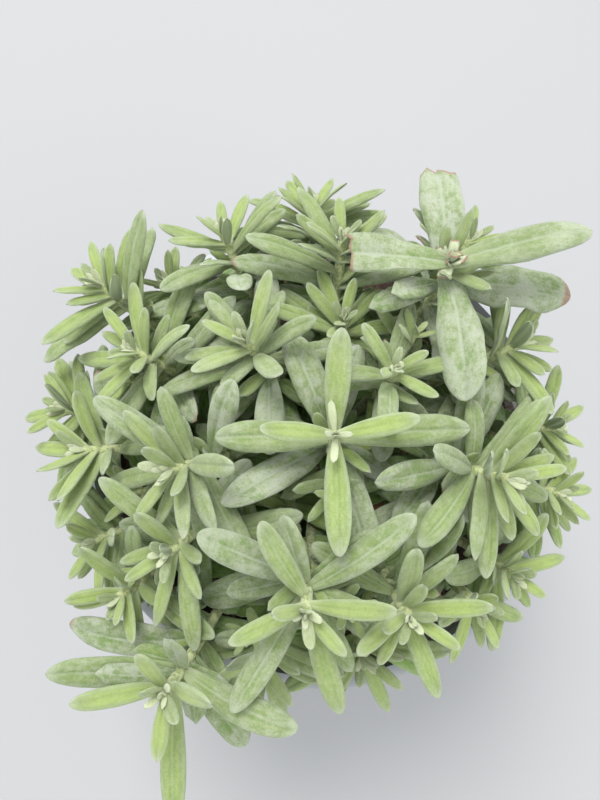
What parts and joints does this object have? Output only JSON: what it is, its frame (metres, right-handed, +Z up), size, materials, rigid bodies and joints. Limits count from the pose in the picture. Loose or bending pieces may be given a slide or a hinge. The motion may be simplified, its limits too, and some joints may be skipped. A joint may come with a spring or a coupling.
{
  "type": "potted lavender plant",
  "caption": "Bushy young lavender without flowers, leafy shoots with opposite grey-green felted leaves, in a round pale plastic nursery pot filled with soil.",
  "frame": {"origin": "centre of the pot's underside, on the surface that it stands on", "axes": "+Z up along the pot's axis; -Y towards the side that the picture is taken from; +X to the right there"},
  "size_m": [0.1451, 0.1522, 0.1653],
  "materials": {
    "pot": "satin",
    "soil": "matte",
    "foliage": "matte"
  },
  "bodies": {
    "root": {"pot": "pot", "soil": "soil", "shoot_centre": "foliage", "shoot_inner_upper_left": "foliage", "shoot_upper_left_edge": "foliage", "shoot_left_middle": "foliage", "shoot_left_edge_high": "foliage", "shoot_left_edge_low": "foliage", "shoot_left_edge_foot": "foliage", "shoot_left_low": "foliage", "shoot_left_centre": "foliage", "shoot_lower_left": "foliage", "shoot_lower_left_edge": "foliage", "shoot_bottom": "foliage", "shoot_bottom_centre": "foliage", "shoot_bottom_low": "foliage", "shoot_bottom_right": "foliage", "shoot_right": "foliage", "shoot_right_edge_high": "foliage", "shoot_right_edge_low": "foliage", "shoot_right_edge_foot": "foliage", "shoot_lower_right": "foliage", "shoot_star": "foliage", "shoot_upper_middle": "foliage", "shoot_top_middle": "foliage", "shoot_top_back": "foliage", "shoot_upper_left_low": "foliage", "shoot_top_left": "foliage", "shoot_top_right_back": "foliage", "shoot_topped": "foliage", "shoot_right_upper": "foliage", "shoot_centre_low": "foliage", "shoot_bottom_right_low": "foliage"}
  },
  "joints": []
}
